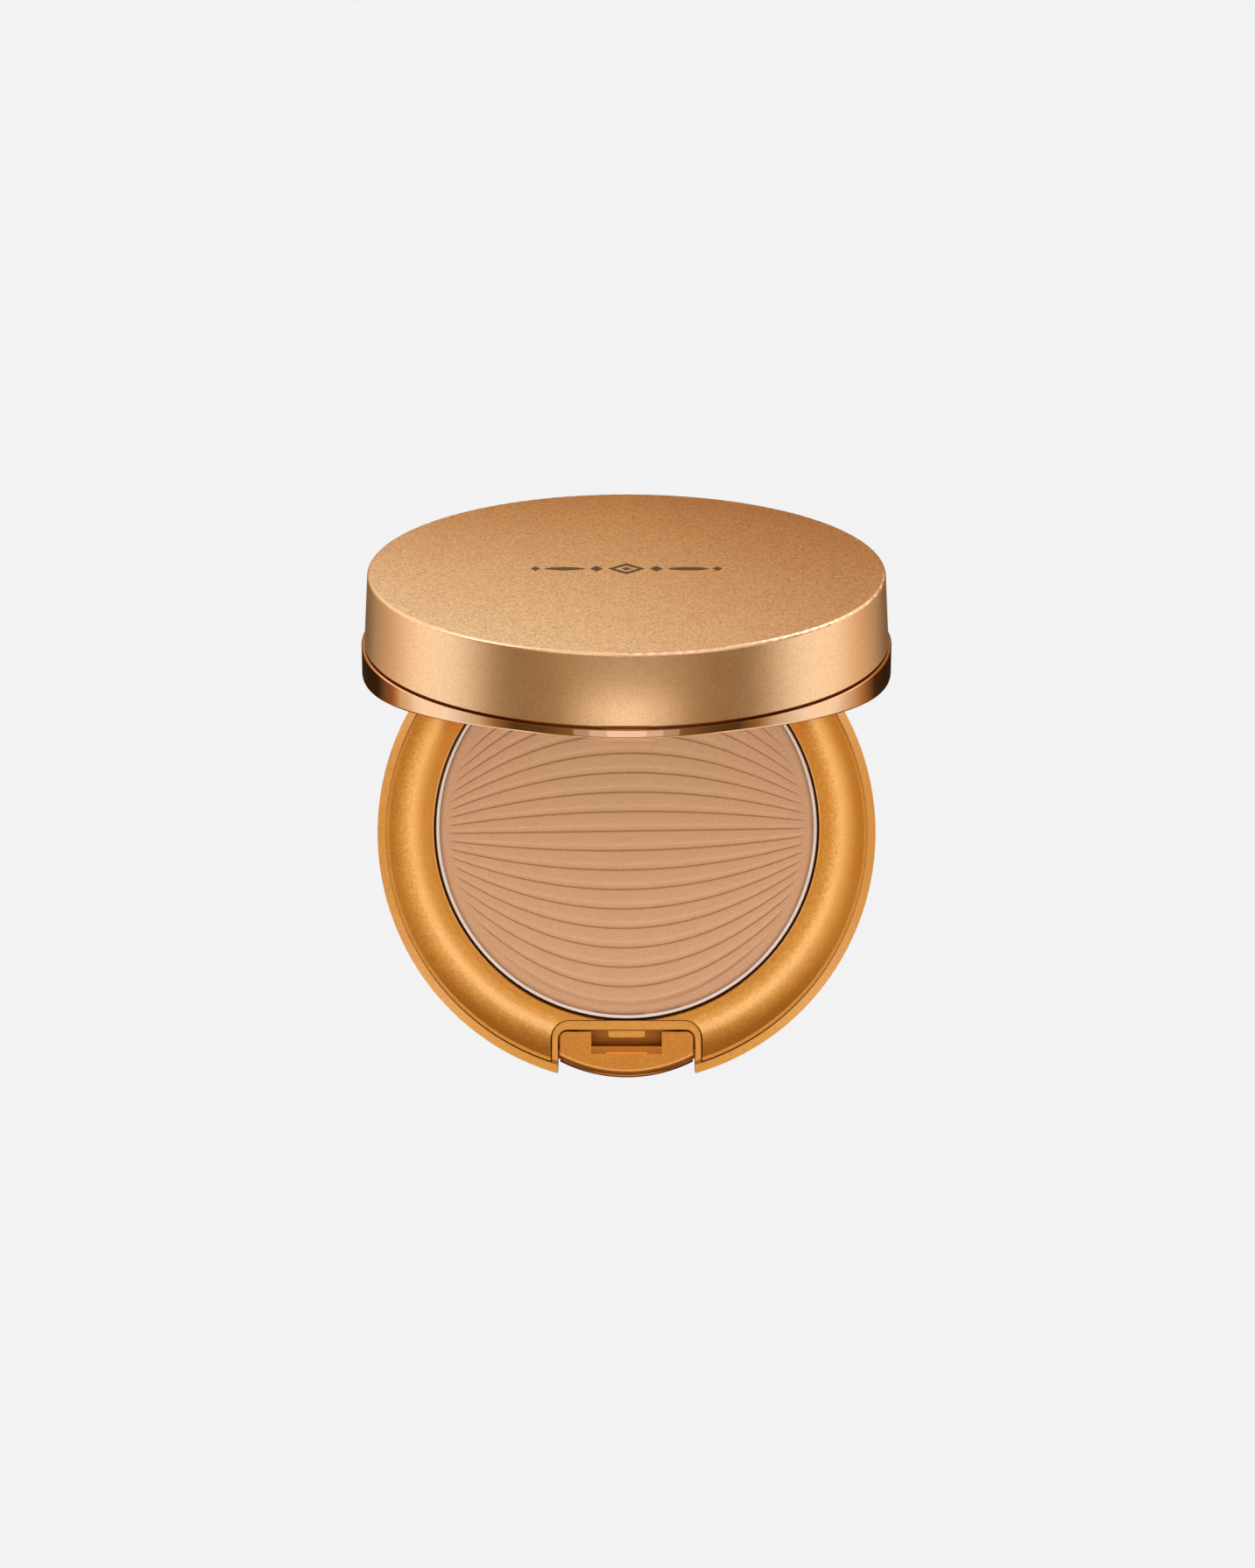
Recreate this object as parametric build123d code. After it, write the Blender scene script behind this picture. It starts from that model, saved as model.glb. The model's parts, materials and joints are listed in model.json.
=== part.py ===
"""Round powder compact with a hinged mirror lid and a push-button latch.

Frame: millimetres, +Z up, origin at the centre of the base's flat bottom. The latch is at the
front (-Y) and the hinge at the back (+Y). Lid parts are drawn closed, then turned open.
"""
import os
from math import sqrt

from build123d import *

# ---- base ----
BASE_RADIUS = 39.0
BASE_HEIGHT = 9.2          # bottom to the parting surface, at the front and at the hinge
BASE_CORNER = 5.0          # rounding of the lower outside edge
FLOOR_THICK = 1.2
RIM_INNER = 37.65          # inside of the flat outer ledge
SHOULDER_Z = 4.5           # step that carries the tray
SHOULDER_INNER = 36.4

# ---- parting surface: level in the middle, falling in an arc to both sides ----
LEVEL_HALF = 12.0          # half width of the level strip
SIDE_DROP = 3.3            # how far it has fallen at the two sides
PART_GAP = 0.15

# ---- tray ----
TRAY_RADIUS = 37.45
LIP_WIDTH = 0.5
LIP_HEIGHT = 0.26          # lip above the parting surface
CROWN_RADIUS = 30.5        # the ring is level inside this and falls in an arc outside it
CROWN_ARC = 18.0           # radius of that arc
RING_THICK = 1.1
WELL_SHIFT = 0.74          # the pan sits this far towards the hinge
WELL_RADIUS = 30.0
WELL_WALL = 0.9
WELL_FLOOR_Z = 4.3
WELL_FLOOR = 1.0
WELL_BEVEL = 0.15

# ---- pan and powder ----
PAN_RADIUS = 29.6
PAN_WALL = 0.45
PAN_BOTTOM = 0.4
PAN_TAPE = 0.2
PAN_RIM = 0.5              # pan rim above the parting surface
CAKE_RISE = 0.05           # powder above the pan's rim

# ---- latch notch and button ----
NOTCH_HALF = 10.72
NOTCH_BACK = -30.67
NOTCH_CORNER = 1.5
FRAME_HALF = 11.6          # outside of the strip round the notch
FRAME_BACK = -29.3
FRAME_CORNER = 2.7
STRIP_THICK = 0.9
RECESS_BACK = -29.95       # undercut that the button slides into
RECESS_CORNER = 1.2
BEAD_HALF = 2.85
BEAD_FRONT = -31.9
BEAD_TOP_DROP = 0.35
BEAD_HEIGHT = 1.15
BEAD_CORNER = 0.4
BUTTON_HALF = 10.37
BUTTON_BACK = -31.08
BUTTON_FRONT = -38.3
BUTTON_ARC = 23.0          # plan radius of the bulged front
BUTTON_BLOCK = -34.5       # back of the solid front block, and of the window's front edge
BUTTON_DROP = 1.05         # top face below the parting surface
BUTTON_PLATE = 1.0
BUTTON_ROUND = 1.3         # rounding along the front of the top face
BUTTON_CORNER = 1.0
BUTTON_WALL = 1.0
BUTTON_FOOT = 1.35
BUTTON_INSET = 0.3         # behind the base's own outside, low down
BUTTON_TRAVEL = 1.0
WINDOW_HALF = 5.5
RAMP_DEPTH = 1.0
RAMP_TOP_DROP = 2.2
RAMP_HEIGHT = 2.2
EAR_OUT = 11.3
EAR_BACK = -34.0
EAR_FRONT = -35.5
EAR_LOW = 3.0
EAR_HIGH = 5.0
FIT = 0.05                 # small clearance between fitted parts
CLEAR = 0.2                # visible clearance between moulded parts

# ---- springs ----
SPRING_X = 7.6
SPRING_Z = 4.6
SPRING_RADIUS = 1.0        # centre line of the coil
SPRING_WIRE = 0.16         # wire radius
SPRING_TURNS = 5
BOSS_RADIUS = 0.55
BOSS_LENGTH = 1.2

# ---- hinge ----
HINGE_Y = 35.5
HINGE_Z = BASE_HEIGHT - 5.3
PIN_RADIUS = 0.6
PIN_HALF = 10.6
LEG_HALF = 7.0
LEG_THICK = 2.8
BARREL_RADIUS = 1.9
CHEEK_IN = 7.15
CHEEK_OUT = 10.8
CHEEK_FRONT = 33.4
CHEEK_TOP = 5.9
POCKET_SILL = 1.7          # lower edge of the opening in the rear wall
OPEN_ANGLE = 69.0          # how far the lid is open in the rest pose

# ---- lid, heights above the parting surface ----
BAND_RADIUS = 39.2
BAND_INNER = 37.75
BAND_TOP = 1.5
BAND_SEAT = 0.7            # above this the band closes in on the frame's skirt
BAND_ROUND = 0.3
COVER_GROOVE = 0.25
GROOVE_DEPTH = 0.55
EDGE_BEVEL = 0.12
COVER_BOTTOM_RADIUS = 38.75
COVER_TOP_RADIUS = 38.1
COVER_TOP = 12.39
COVER_THICK = 1.2
COVER_EDGE = 0.45
COVER_INNER = 37.4
SLOT_HALF = 3.5            # small pry slot at the front of the groove
SKIRT_RADIUS = 37.35
SKIRT_INNER = 36.4
SKIRT_BOTTOM = 0.8
FRAME_LOW = 4.6
FRAME_PLATE = 1.2
MIRROR_RADIUS = 31.0
MIRROR_THICK = 1.5
MIRROR_TAPE = 0.3
MIRROR_SUNK = 0.1
HOOK_HALF = 4.0
HOOK_FRONT = -33.0
HOOK_BACK = -32.2
HOOK_CATCH = -32.06
HOOK_DEPTH = 2.6           # below the parting surface
HOOK_CHAMFER = 0.5
HOOK_ROOT = 1.1            # extra thickness where it joins the frame
CATCH_HEIGHT = 0.65
MIRROR_BEVEL = 0.3
TAPE_INSET = 2.0           # adhesive discs are this much smaller than what they hold

# ---- weight plate and label ----
WEIGHT_RADIUS = 27.0
WEIGHT_THICK = 1.5
LABEL_RADIUS = 20.0
LABEL_THICK = 0.1          # flush with the bottom

FAR = 60.0                 # larger than the object, for cutting tools


def block(x0, x1, y0, y1, z0, z1):
    """Box between two corners."""
    size = (x1 - x0, y1 - y0, z1 - z0)
    centre = ((x0 + x1) / 2, (y0 + y1) / 2, (z0 + z1) / 2)
    return Pos(*centre) * Box(*size)


def disc(radius, z0, z1, y=0.0):
    """Upright cylinder from z0 to z1."""
    return Pos(0, y, (z0 + z1) / 2) * Cylinder(radius, z1 - z0)


def rod_x(radius, x0, x1, y, z):
    """Cylinder along X."""
    return Pos((x0 + x1) / 2, y, z) * Rot(0, 90, 0) * Cylinder(radius, x1 - x0)


def rod_y(radius, y0, y1, x, z):
    """Cylinder along Y."""
    return Pos(x, (y0 + y1) / 2, z) * Rot(90, 0, 0) * Cylinder(radius, y1 - y0)


def turned(*edges):
    """Solid turned about Z from the edges of a closed half section in the XZ plane."""
    section = make_face(Plane.XZ * (Curve() + list(edges)))
    return revolve(section, Axis.Z)


def turned_polygon(*points):
    """Solid turned about Z from a closed polygon of (radius, height) points."""
    return revolve(make_face(Plane.XZ * Polyline(*points, close=True)), Axis.Z)


def plan_slab(half, back, corner, z0, z1, front=-FAR):
    """Slab from z0 to z1 whose plan is a strip along -Y with two rounded back corners."""
    outline = Polyline((-half, front), (-half, back), (half, back), (half, front), close=True)
    slab = extrude(make_face(outline), z1 - z0)
    back_corners = slab.edges().filter_by(Axis.Z).group_by(Axis.Y)[-1]
    return Pos(0, 0, z0) * fillet(back_corners, corner)


def above_parting(gap=0.0):
    """Everything above the parting surface raised by gap."""
    level = BASE_HEIGHT + gap
    reach = BASE_RADIUS - LEVEL_HALF
    arc_radius = (reach**2 + SIDE_DROP**2) / (2 * SIDE_DROP)
    end_x = BASE_RADIUS + 4
    end_z = level - arc_radius + sqrt(arc_radius**2 - (end_x - LEVEL_HALF) ** 2)
    right = TangentArc((LEVEL_HALF, level), (end_x, end_z), tangent=(1, 0))
    left = TangentArc((-LEVEL_HALF, level), (-end_x, end_z), tangent=(-1, 0))
    outline = Curve() + [
        left,
        Line((-LEVEL_HALF, level), (LEVEL_HALF, level)),
        right,
        Line((end_x, end_z), (end_x, FAR)),
        Line((end_x, FAR), (-end_x, FAR)),
        Line((-end_x, FAR), (-end_x, end_z)),
    ]
    return extrude(make_face(Plane.XZ * outline), FAR, both=True)


def base_outer(inset=0.0):
    """The base's outside as a full solid, with its flat bottom and rounded lower edge."""
    radius = BASE_RADIUS - inset
    flat = radius - BASE_CORNER
    diagonal = BASE_CORNER * sqrt(0.5)
    return turned(
        Line((0, 0), (flat, 0)),
        ThreePointArc(
            (flat, 0), (flat + diagonal, BASE_CORNER - diagonal), (radius, BASE_CORNER)
        ),
        Line((radius, BASE_CORNER), (radius, BASE_HEIGHT)),
        Line((radius, BASE_HEIGHT), (0, BASE_HEIGHT)),
        Line((0, BASE_HEIGHT), (0, 0)),
    )


def base_hollow():
    """Space inside the base shell, with the shoulder that carries the tray."""
    round_radius = SHOULDER_Z - FLOOR_THICK
    flat = SHOULDER_INNER - round_radius
    diagonal = round_radius * sqrt(0.5)
    return turned(
        Line((0, FLOOR_THICK), (flat, FLOOR_THICK)),
        ThreePointArc(
            (flat, FLOOR_THICK),
            (flat + diagonal, SHOULDER_Z - diagonal),
            (SHOULDER_INNER, SHOULDER_Z),
        ),
        Line((SHOULDER_INNER, SHOULDER_Z), (RIM_INNER, SHOULDER_Z)),
        Line((RIM_INNER, SHOULDER_Z), (RIM_INNER, FAR)),
        Line((RIM_INNER, FAR), (0, FAR)),
        Line((0, FAR), (0, FLOOR_THICK)),
    )


def latch_bead():
    """Snap bead on the notch's back wall, with two rounded front corners."""
    top = BASE_HEIGHT - BEAD_TOP_DROP
    bead = block(-BEAD_HALF, BEAD_HALF, BEAD_FRONT, NOTCH_BACK + FIT, top - BEAD_HEIGHT, top)
    return fillet(bead.edges().filter_by(Axis.Z).group_by(Axis.Y)[0], BEAD_CORNER)


def notch_space():
    """Room inside the notch: the open notch, the undercut behind it and two ear windows."""
    notch = plan_slab(NOTCH_HALF, NOTCH_BACK, NOTCH_CORNER, FLOOR_THICK, FAR)
    recess_top = BASE_HEIGHT - STRIP_THICK
    recess = plan_slab(NOTCH_HALF, RECESS_BACK, RECESS_CORNER, FLOOR_THICK, recess_top)
    window_half = FRAME_HALF + CLEAR
    windows = block(
        -window_half, window_half,
        EAR_FRONT - FIT, EAR_BACK + BUTTON_TRAVEL + 2 * FIT,
        EAR_LOW - 2 * FIT, EAR_HIGH + 2 * FIT,
    )
    return notch + recess + windows


def hinge_cheeks():
    """The two blocks in the base that hold the pin."""
    right = block(CHEEK_IN, CHEEK_OUT, CHEEK_FRONT, FAR, FLOOR_THICK, CHEEK_TOP)
    return [right, mirror(right, Plane.YZ)]


def rear_relief():
    """Material to remove behind the hinge axis so that the lid's underside can roll past."""
    reach = BASE_HEIGHT - HINGE_Z
    corner = block(-FAR, FAR, HINGE_Y, FAR, HINGE_Z, FAR)
    return corner - rod_x(reach, -FAR, FAR, HINGE_Y, HINGE_Z)


def base_shell():
    """Outer cup: wall, floor, rim ledge, notch wall, hinge cheeks and label recess."""
    outer = base_outer()
    shell = outer - base_hollow()
    shell += plan_slab(FRAME_HALF, FRAME_BACK, FRAME_CORNER, FLOOR_THICK, BASE_HEIGHT) & outer
    for cheek in hinge_cheeks():
        shell += cheek & outer
    shell -= notch_space()
    shell += latch_bead()
    shell -= block(-CHEEK_IN, CHEEK_IN, CHEEK_FRONT, FAR, POCKET_SILL, FAR)
    shell -= rear_relief()
    shell -= rod_x(PIN_RADIUS + FIT / 2, -PIN_HALF - FIT, FAR, HINGE_Y, HINGE_Z)
    shell -= disc(LABEL_RADIUS + CLEAR, 0, LABEL_THICK)
    return shell - above_parting()


def on_well_edge(edge):
    """True for the edge where the ring's top meets the well."""
    point = edge @ 0.5
    radius = sqrt(point.X**2 + (point.Y - WELL_SHIFT) ** 2)
    return abs(radius - WELL_RADIUS) < FIT and point.Z > BASE_HEIGHT + LIP_HEIGHT


def base_tray():
    """Ring plate that falls outwards to a lip, and the round well for the pan."""
    lip_inner = TRAY_RADIUS - LIP_WIDTH
    lip_z = BASE_HEIGHT + LIP_HEIGHT
    crown_fall = CROWN_ARC - sqrt(CROWN_ARC**2 - (lip_inner - CROWN_RADIUS) ** 2)
    crown_z = lip_z + crown_fall
    inner = WELL_RADIUS - 2 * WELL_SHIFT
    under_z = BASE_HEIGHT - RING_THICK
    foot_z = SHOULDER_Z + FIT / 2
    collar_inner = SHOULDER_INNER + 2 * FIT
    ring = turned(
        Line((inner, crown_z), (CROWN_RADIUS, crown_z)),
        TangentArc((CROWN_RADIUS, crown_z), (lip_inner, lip_z), tangent=(1, 0)),
        Line((lip_inner, lip_z), (TRAY_RADIUS, lip_z)),
        Line((TRAY_RADIUS, lip_z), (TRAY_RADIUS, foot_z)),
        Line((TRAY_RADIUS, foot_z), (collar_inner, foot_z)),
        Line((collar_inner, foot_z), (collar_inner, under_z)),
        Line((collar_inner, under_z), (inner, under_z)),
        Line((inner, under_z), (inner, crown_z)),
    )
    well = disc(WELL_RADIUS + WELL_WALL, WELL_FLOOR_Z - WELL_FLOOR, under_z + FIT, WELL_SHIFT)
    tray = ring + well
    tray -= disc(WELL_RADIUS, WELL_FLOOR_Z, FAR, WELL_SHIFT)
    tray -= plan_slab(FRAME_HALF + CLEAR, FRAME_BACK + CLEAR, FRAME_CORNER + CLEAR, 0, FAR)
    tray -= block(-CHEEK_IN - FIT, CHEEK_IN + FIT, CHEEK_FRONT, FAR, 0, FAR)
    cheek_room = CHEEK_OUT + CLEAR
    tray -= block(-cheek_room, cheek_room, CHEEK_FRONT - CLEAR, FAR, 0, CHEEK_TOP + CLEAR)
    return chamfer(tray.edges().filter_by(on_well_edge), WELL_BEVEL)


def powder_pan():
    """Thin metal pan with a plain rim."""
    bottom = WELL_FLOOR_Z + PAN_TAPE
    rim = BASE_HEIGHT + PAN_RIM
    pan = disc(PAN_RADIUS, bottom, rim, WELL_SHIFT)
    pan = fillet(pan.edges().group_by(Axis.Z)[0], PAN_WALL)
    return pan - disc(PAN_RADIUS - PAN_WALL, bottom + PAN_BOTTOM, FAR, WELL_SHIFT)


def powder_cake():
    """Pressed powder, plain here, filling the pan."""
    bottom = WELL_FLOOR_Z + PAN_TAPE + PAN_BOTTOM
    top = BASE_HEIGHT + PAN_RIM + CAKE_RISE
    return disc(PAN_RADIUS - PAN_WALL, bottom, top, WELL_SHIFT)


def pan_tape():
    """Adhesive disc under the pan."""
    return disc(PAN_RADIUS - TAPE_INSET, WELL_FLOOR_Z, WELL_FLOOR_Z + PAN_TAPE, WELL_SHIFT)


def weight_plate():
    """Steel disc glued to the floor of the shell."""
    return disc(WEIGHT_RADIUS, FLOOR_THICK, FLOOR_THICK + WEIGHT_THICK)


def bottom_label():
    """Blank label that fills the shallow recess of the bottom."""
    return disc(LABEL_RADIUS, 0, LABEL_THICK)


def hinge_pin():
    """Steel pin through both cheeks and the lid's leg."""
    return rod_x(PIN_RADIUS, -PIN_HALF, PIN_HALF, HINGE_Y, HINGE_Z)


def push_button():
    """Sliding button: plan with a bulged front, hollow below, with window, ramp and ears."""
    top = BASE_HEIGHT - BUTTON_DROP
    side_y = BUTTON_FRONT + BUTTON_ARC - sqrt(BUTTON_ARC**2 - BUTTON_HALF**2)
    outline = Curve() + [
        Line((-BUTTON_HALF, side_y), (-BUTTON_HALF, BUTTON_BACK)),
        Line((-BUTTON_HALF, BUTTON_BACK), (BUTTON_HALF, BUTTON_BACK)),
        Line((BUTTON_HALF, BUTTON_BACK), (BUTTON_HALF, side_y)),
        ThreePointArc((BUTTON_HALF, side_y), (0, BUTTON_FRONT), (-BUTTON_HALF, side_y)),
    ]
    button = Pos(0, 0, BUTTON_FOOT) * extrude(make_face(outline), top - BUTTON_FOOT)
    back_corners = button.edges().filter_by(Axis.Z).group_by(Axis.Y)[-1]
    button = fillet(back_corners, BUTTON_CORNER)
    front_edge = button.edges().group_by(Axis.Z)[-1].sort_by(Axis.Y)[0]
    button = fillet(front_edge, BUTTON_ROUND)
    button = button & base_outer(BUTTON_INSET)
    hollow_half = BUTTON_HALF - BUTTON_WALL
    button -= block(-hollow_half, hollow_half, BUTTON_BLOCK, 0, 0, top - BUTTON_PLATE)
    button -= block(-WINDOW_HALF, WINDOW_HALF, BUTTON_BLOCK, 0, 0, FAR)
    button += ramp()
    boss = rod_y(BOSS_RADIUS, BUTTON_BLOCK, BUTTON_BLOCK + BOSS_LENGTH, SPRING_X, SPRING_Z)
    ear = block(hollow_half, EAR_OUT, EAR_FRONT, EAR_BACK, EAR_LOW, EAR_HIGH)
    for detail in (boss, ear):
        button += detail
        button += mirror(detail, Plane.YZ)
    return button


def ramp():
    """Wedge at the window's front that lifts the hook when the button goes in."""
    high = BASE_HEIGHT - RAMP_TOP_DROP
    low = high - RAMP_HEIGHT
    back = BUTTON_BLOCK + RAMP_DEPTH
    section = Polyline(
        (BUTTON_BLOCK, low), (BUTTON_BLOCK, high), (back, high - RAMP_DEPTH), (back, low), close=True
    )
    return extrude(make_face(Plane.YZ * section), WINDOW_HALF, both=True)


def button_spring(side):
    """Coil spring between the notch wall and the button's front block."""
    length = RECESS_BACK - FIT - (BUTTON_BLOCK + FIT)
    height = length - 2 * SPRING_WIRE
    path = Helix(pitch=height / SPRING_TURNS, height=height, radius=SPRING_RADIUS)
    wire = Plane(path @ 0, z_dir=path % 0) * Circle(SPRING_WIRE)
    coil = sweep(wire, path=path)
    back = BUTTON_BLOCK + FIT + SPRING_WIRE
    return Pos(side * SPRING_X, back, SPRING_Z) * Rot(-90, 0, 0) * coil


def lid_cover():
    """Drum-shaped cover with a flat top, a tapered wall and a groove above the band."""
    top = BASE_HEIGHT + COVER_TOP
    seat = BASE_HEIGHT + BAND_TOP
    skirt = seat + COVER_GROOVE
    groove_inner = COVER_BOTTOM_RADIUS - GROOVE_DEPTH
    cover = turned_polygon(
        (0, top),
        (COVER_TOP_RADIUS, top),
        (COVER_BOTTOM_RADIUS, skirt + EDGE_BEVEL),
        (COVER_BOTTOM_RADIUS - EDGE_BEVEL, skirt),
        (groove_inner, skirt),
        (groove_inner, seat),
        (COVER_INNER, seat),
        (COVER_INNER, top - COVER_THICK),
        (0, top - COVER_THICK),
    )
    cover = fillet(cover.edges().group_by(Axis.Z)[-1], COVER_EDGE)
    slot = block(-SLOT_HALF, SLOT_HALF, -FAR, -groove_inner, seat, skirt + COVER_GROOVE)
    return cover - slot


def on_band_rim(edge):
    """True for the band's outer lower edge."""
    point = edge @ 0.5
    radius = sqrt(point.X**2 + point.Y**2)
    return abs(radius - BAND_RADIUS) < FIT and point.Z < BASE_HEIGHT + BAND_SEAT


def lid_band():
    """Polished ring under the cover: its lower edge follows the parting surface."""
    top = BASE_HEIGHT + BAND_TOP
    seat = BASE_HEIGHT + BAND_SEAT
    band = turned_polygon(
        (BAND_INNER, 0),
        (BAND_RADIUS, 0),
        (BAND_RADIUS, top - EDGE_BEVEL),
        (BAND_RADIUS - EDGE_BEVEL, top),
        (COVER_INNER, top),
        (COVER_INNER, seat),
        (BAND_INNER, seat),
    )
    band = band & above_parting(PART_GAP)
    return fillet(band.edges().filter_by(on_band_rim), BAND_ROUND)


def lid_frame():
    """Inner frame of the lid: skirt, mirror seat, latch hook and hinge leg."""
    low = BASE_HEIGHT + FRAME_LOW
    seat = low + MIRROR_SUNK + MIRROR_THICK + MIRROR_TAPE
    roof = seat + FRAME_PLATE
    recess = MIRROR_RADIUS + CLEAR
    hat = recess + FRAME_PLATE
    frame = turned_polygon(
        (0, seat),
        (recess, seat),
        (recess, low),
        (SKIRT_INNER, low),
        (SKIRT_INNER, BASE_HEIGHT + SKIRT_BOTTOM),
        (SKIRT_RADIUS, BASE_HEIGHT + SKIRT_BOTTOM),
        (SKIRT_RADIUS, low + FRAME_PLATE),
        (hat, low + FRAME_PLATE),
        (hat, roof),
        (0, roof),
    )
    frame += latch_hook(low)
    leg_front = HINGE_Y - LEG_THICK / 2
    leg = block(-LEG_HALF, LEG_HALF, leg_front, leg_front + LEG_THICK, HINGE_Z, low + FIT)
    frame += leg & disc(SKIRT_RADIUS, 0, FAR)
    frame += rod_x(BARREL_RADIUS, -LEG_HALF, LEG_HALF, HINGE_Y, HINGE_Z)
    return frame - rod_x(PIN_RADIUS + FIT, -FAR, FAR, HINGE_Y, HINGE_Z)


def latch_hook(root_z):
    """Hook that hangs from the frame, with a chamfered tip, a small catch and a thick root."""
    tip = BASE_HEIGHT - HOOK_DEPTH
    catch_step = HOOK_CATCH - HOOK_BACK
    root_front = HOOK_FRONT - HOOK_ROOT
    section = Polyline(
        (HOOK_FRONT, tip + HOOK_CHAMFER),
        (HOOK_FRONT + HOOK_CHAMFER, tip),
        (HOOK_BACK, tip),
        (HOOK_CATCH, tip + catch_step),
        (HOOK_CATCH, tip + CATCH_HEIGHT - catch_step),
        (HOOK_BACK, tip + CATCH_HEIGHT),
        (HOOK_BACK, root_z + FIT),
        (root_front, root_z + FIT),
        (root_front, root_z - HOOK_ROOT),
        (HOOK_FRONT, root_z - 2 * HOOK_ROOT),
        close=True,
    )
    return extrude(make_face(Plane.YZ * section), HOOK_HALF, both=True)


def lid_mirror():
    """Round mirror with a small bevel round its face."""
    face = BASE_HEIGHT + FRAME_LOW + MIRROR_SUNK
    glass = disc(MIRROR_RADIUS, face, face + MIRROR_THICK)
    return chamfer(glass.edges().group_by(Axis.Z)[0], MIRROR_BEVEL)


def mirror_tape():
    """Adhesive disc behind the mirror."""
    back = BASE_HEIGHT + FRAME_LOW + MIRROR_SUNK + MIRROR_THICK
    return disc(MIRROR_RADIUS - TAPE_INSET, back, back + MIRROR_TAPE)


def opened(part):
    """Turn a lid part about the hinge axis to the rest pose."""
    to_hinge = Pos(0, HINGE_Y, HINGE_Z)
    return to_hinge * Rot(-OPEN_ANGLE, 0, 0) * to_hinge.inverse() * part


FIXED_PARTS = {
    "base_shell": base_shell,
    "base_tray": base_tray,
    "powder_pan": powder_pan,
    "powder_cake": powder_cake,
    "pan_tape": pan_tape,
    "weight_plate": weight_plate,
    "bottom_label": bottom_label,
    "hinge_pin": hinge_pin,
    "push_button": push_button,
}
LID_PARTS = {
    "lid_cover": lid_cover,
    "lid_band": lid_band,
    "lid_frame": lid_frame,
    "lid_mirror": lid_mirror,
    "mirror_tape": mirror_tape,
}

os.makedirs("parts", exist_ok=True)
for name, build in FIXED_PARTS.items():
    export_step(build(), f"parts/{name}.step")
for name, build in LID_PARTS.items():
    export_step(opened(build()), f"parts/{name}.step")
for name, side in (("button_spring_left", -1), ("button_spring_right", 1)):
    export_step(button_spring(side), f"parts/{name}.step")
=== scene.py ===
"""Looks for the powder compact: materials, ridged powder, lid ornament, studio and camera.

Lengths are metres, in the CAD frame. Shapes that are finer than the CAD are built here.
"""
import json
from math import cos, pi, radians, sin

import bmesh
import bpy
import numpy as np
from mathutils import Matrix, Vector


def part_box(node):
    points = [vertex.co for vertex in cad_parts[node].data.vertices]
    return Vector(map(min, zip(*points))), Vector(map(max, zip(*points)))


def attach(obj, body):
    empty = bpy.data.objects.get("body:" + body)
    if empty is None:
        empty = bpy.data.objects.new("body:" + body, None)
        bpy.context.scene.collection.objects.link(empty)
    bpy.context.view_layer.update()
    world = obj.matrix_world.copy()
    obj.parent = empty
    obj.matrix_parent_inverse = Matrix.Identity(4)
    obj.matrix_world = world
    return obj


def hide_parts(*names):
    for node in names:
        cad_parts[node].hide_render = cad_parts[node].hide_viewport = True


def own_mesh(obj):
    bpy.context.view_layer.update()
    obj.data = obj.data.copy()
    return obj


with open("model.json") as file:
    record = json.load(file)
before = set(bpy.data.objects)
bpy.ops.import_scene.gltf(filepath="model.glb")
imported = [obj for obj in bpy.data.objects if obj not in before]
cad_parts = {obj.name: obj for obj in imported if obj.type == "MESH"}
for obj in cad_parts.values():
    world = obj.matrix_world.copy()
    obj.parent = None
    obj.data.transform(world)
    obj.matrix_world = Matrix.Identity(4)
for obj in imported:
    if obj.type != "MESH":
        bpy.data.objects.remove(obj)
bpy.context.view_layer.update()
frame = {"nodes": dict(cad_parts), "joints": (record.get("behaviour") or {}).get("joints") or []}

MM = 0.001

# ---- camera: straight above, a little behind the centre of the base ----
CAMERA_AT = (0.00015, 0.0076, 0.6282)
CAMERA_LENS = 91.2
SENSOR = 36.0

# ---- powder relief ----
RIDGE_STEP = 3.03 * MM        # distance between ridges on the centre line
RIDGE_CLOSING = 0.60          # share of that distance lost at RIDGE_REACH
RIDGE_REACH = 27.5 * MM
RIDGE_SHIFT = -0.44 * MM
RIDGE_SLANT = 0.014
RIDGE_HEIGHT = 0.25 * MM
RIDGE_COUNT = 11              # each way from the middle
RIDGE_RISE = (-0.031, 0.031)  # the steep side, as shares of a step
RIDGE_FALL = (0.25, 0.345)    # the soft back
POWDER_COLUMNS = 260
PLAIN_BORDER = 1.3 * MM       # flat strip along the pan wall
BORDER_BLEND = 1.3 * MM
RIM_DROP = 0.12 * MM          # rounding of the powder's edge
RIM_WIDTH = 0.35 * MM
WELD = 0.002 * MM             # points closer than this are one point

# ---- lacquers ----
LID_GOLD = (1.0, 0.62, 0.335)
BASE_GOLD = (0.95, 0.435, 0.077)
BUTTON_GOLD = (0.86, 0.36, 0.055)
LID_SPARK = (0.10, 0.33)      # flake contrast on the wall and on the top, painted stronger on the top

# ---- shade where light hardly reaches; each colour is a factor on the lacquer ----
GROOVE_SHADE = (0.22, 0.14, 0.08, 1)   # groove under the lid's cover
LIP_SHADE = (0.46, 0.36, 0.24, 1)      # foot of the ring's lip
FRONT_SHADE = (0.74, 0.60, 0.30, 1)    # front face of the button
GAP_EDGE = (0.36, 0.26, 0.12, 1)       # just inside a gap of the base
GAP_WALL = (0.40, 0.28, 0.10, 1)
GAP_BROWN = (0.60, 0.44, 0.16, 1)      # deep in the shell's and the button's gaps
GAP_BLACK = (0.12, 0.09, 0.05, 1)      # deep in the tray's gaps
GAP_REACH = 37.7 * MM         # gaps are inside this radius
GAP_LOW = 0.5 * MM            # the underside, below this height, is in the open
PARTING_LEVEL = 12 * MM       # the parting surface is level this far to each side of x = 0
PARTING_ARC = 112 * MM        # and falls in arcs of this radius beyond
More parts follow.
